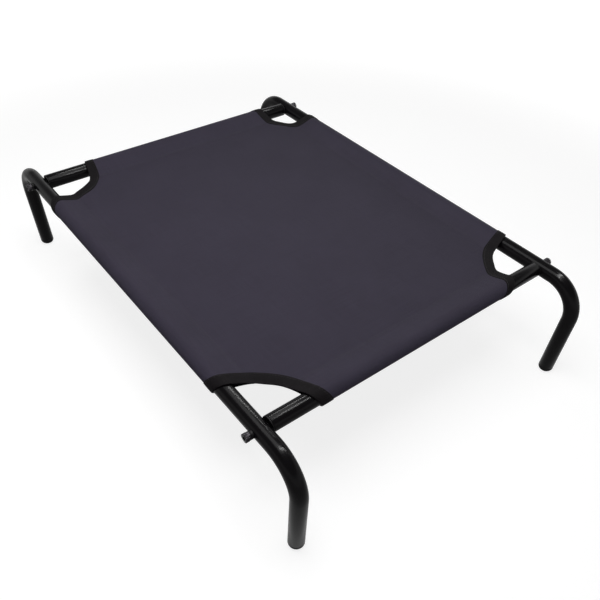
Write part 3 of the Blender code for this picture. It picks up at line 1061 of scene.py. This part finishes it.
def makeFoot(corner, sx, sy):
    o, n = foot, foot["sides"]
    flange, lead, brim = o["flange"], o["leadIn"], o["brim"]
    tip, hollow = flange + o["stem"], stemRadius - o["stemWall"]
    profile = [(nearAxis, 0.0)] + o["groove"]
    profile += quarterRound(tubeRadius, 0.0, o["round"], 12, True)
    profile += [(tubeRadius, flange - brim), (tubeRadius - brim, flange), (stemRadius, flange)]
    profile += [(stemRadius, tip - o["stemRound"]), (stemRadius - lead, tip), (hollow, tip), (hollow, flange)]
    profile.append((nearAxis, flange))
    points = [(sx * sideX + x, sy * legY + y, z) for x, y, z in turnedPoints(profile, n)]
    return recalculated(addMesh(f"{corner}_foot", points, cappedFaces(len(profile), n), plastic))


for corner, sx, sy in corners:
    for make, body, node, slotName in (
        (makeBolt, f"{corner}_bolt", f"{corner}_bolt", "black_steel"),
        (makeWasher, f"{corner}_washer", f"{corner}_saddle_washer", "black_plastic"),
        (makePlug, "frame", f"{corner}_end_plug", "black_plastic"),
        (makeFoot, "frame", f"{corner}_foot_cap", "black_plastic"),
    ):
        piece = make(corner, sx, sy)
        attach(piece, body)
        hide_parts(node)
    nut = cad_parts[f"{corner}_nut"]
    nut.data.materials.clear()
    nut.data.materials.append(zinc)
print("fasteners, washers, plugs and feet made")


# Floor, light and camera

studio = {
    "floorColour": (0.32, 0.32, 0.32),
    "floorLift": 0.79,       # added near the bed where the floor is seen, so that its shadow stays faint
    "farLift": 1.02,
    "mirroredLift": 0.5,     # how much of it shows in gloss
    "liftFrom": 0.9,         # metres from the bed's middle over which the floor goes from near to far
    "liftTo": 1.8,
    "floorHalf": 40.0,
    "horizon": 1.0,          # strength of the world's light, low and high up
    "zenith": 0.13,
    "horizonFade": (0.25, 0.55),
    "mirroredSky": 0.25,     # how bright the backdrop is in gloss
    "aim": (0.0, 0.0, 0.15),
    "lamps": (               # name, place, size along X and Y, power, whether it is for gloss alone
        ("softPanel", (-0.22, -0.08, 1.25), (0.70, 1.00), 10.5, False),
        ("stripFar", (0.45, 0.575, 1.12), (1.30, 0.070), 18.0, True),
        ("stripNear", (0.45, -0.407, 1.19), (1.30, 0.070), 18.0, True),
    ),
}


def seenShare(tree, mirroredShare):
    # 1 where a surface is seen directly, a share of it in gloss and through glass, 0 for the light
    ray = addNode(tree, "ShaderNodeLightPath").outputs
    mirrored = mathNode(tree, "MAXIMUM", ray["Is Glossy Ray"], ray["Is Transmission Ray"])
    mirrored = mathNode(tree, "MULTIPLY", mirrored, mirroredShare)
    return mathNode(tree, "MAXIMUM", ray["Is Camera Ray"], mirrored)


def makeStudio():
    o = studio
    material, tree, shader = startMaterial("paleFloor", o["floorColour"], 0.9, 0.1)
    seen = seenShare(tree, o["mirroredLift"])
    spot = addNode(tree, "ShaderNodeTexCoord").outputs["Object"]
    reach = addNode(tree, "ShaderNodeVectorMath", {0: spot}, operation="LENGTH").outputs["Value"]
    lift = mapRange(tree, reach, o["liftFrom"], o["liftTo"], o["floorLift"], o["farLift"],
                    interpolation_type="SMOOTHSTEP")
    strength = mathNode(tree, "MULTIPLY", seen, lift)
    glow = outOf(tree, "ShaderNodeEmission", {"Color": (1, 1, 1, 1), "Strength": strength})
    both = outOf(tree, "ShaderNodeAddShader", {0: shader.outputs["BSDF"], 1: glow})
    tree.links.new(both, tree.nodes["Material Output"].inputs["Surface"])
    half = o["floorHalf"]
    points = [(-half, -half, 0), (half, -half, 0), (half, half, 0), (-half, half, 0)]
    floor = addMesh("floor", points, [(0, 1, 2, 3)], material)

    # a white backdrop where it is seen, a pale horizon and a darker zenith for the light
    world = bpy.data.worlds.new("studio")
    bpy.context.scene.world = world
    world.use_nodes = True
    tree = world.node_tree
    way = addNode(tree, "ShaderNodeTexCoord").outputs["Generated"]
    height = addNode(tree, "ShaderNodeSeparateXYZ", {"Vector": way}).outputs["Z"]
    level = mapRange(tree, height, *o["horizonFade"], o["horizon"], o["zenith"],
                     interpolation_type="SMOOTHSTEP")
    seen = seenShare(tree, o["mirroredSky"])
    background = tree.nodes["Background"]
    background.inputs["Color"].default_value = (1, 1, 1, 1)
    tree.links.new(mathNode(tree, "MAXIMUM", level, seen), background.inputs["Strength"])

    for name, place, size, power, glossOnly in o["lamps"]:
        light = bpy.data.lights.new(name, "AREA")
        light.shape = "RECTANGLE"
        light.size, light.size_y = size
        light.energy = power
        lamp = bpy.data.objects.new(name, light)
        lamp.location = place
        # level along X, tipped about X towards the bed
        lamp.rotation_euler = (-math.atan2(place[1] - o["aim"][1], place[2] - o["aim"][2]), 0, 0)
        lamp.visible_diffuse = not glossOnly
        bpy.context.scene.collection.objects.link(lamp)


camera = {
    "place": (-0.54638, -0.73064, 0.79274),
    "right": (0.7881886, -0.6143014, 0.0373162),
    "up": (0.4415168, 0.6066530, 0.6610863),
    "back": (-0.4287442, -0.5045850, 0.7493814),
    "focal": 600.557,        # this and the next two in the photograph's pixels
    "shift": 80,
    "wide": 600,
    "sensor": 36.0,
}


def makeCamera():
    o = camera
    data = bpy.data.cameras.new("photoCamera")
    data.sensor_fit = "HORIZONTAL"
    data.sensor_width = o["sensor"]
    data.lens = o["focal"] * o["sensor"] / o["wide"]
    data.shift_y = o["shift"] / o["wide"]
    data.clip_start, data.clip_end = 0.02, 100
    eye = bpy.data.objects.new("photoCamera", data)
    turn = Matrix((o["right"], o["up"], o["back"])).transposed()
    eye.matrix_world = Matrix.Translation(o["place"]) @ turn.to_4x4()
    bpy.context.scene.collection.objects.link(eye)
    bpy.context.scene.camera = eye


makeStudio()
makeCamera()
bpy.context.scene.view_settings.view_transform = "Standard"
print("studio made")
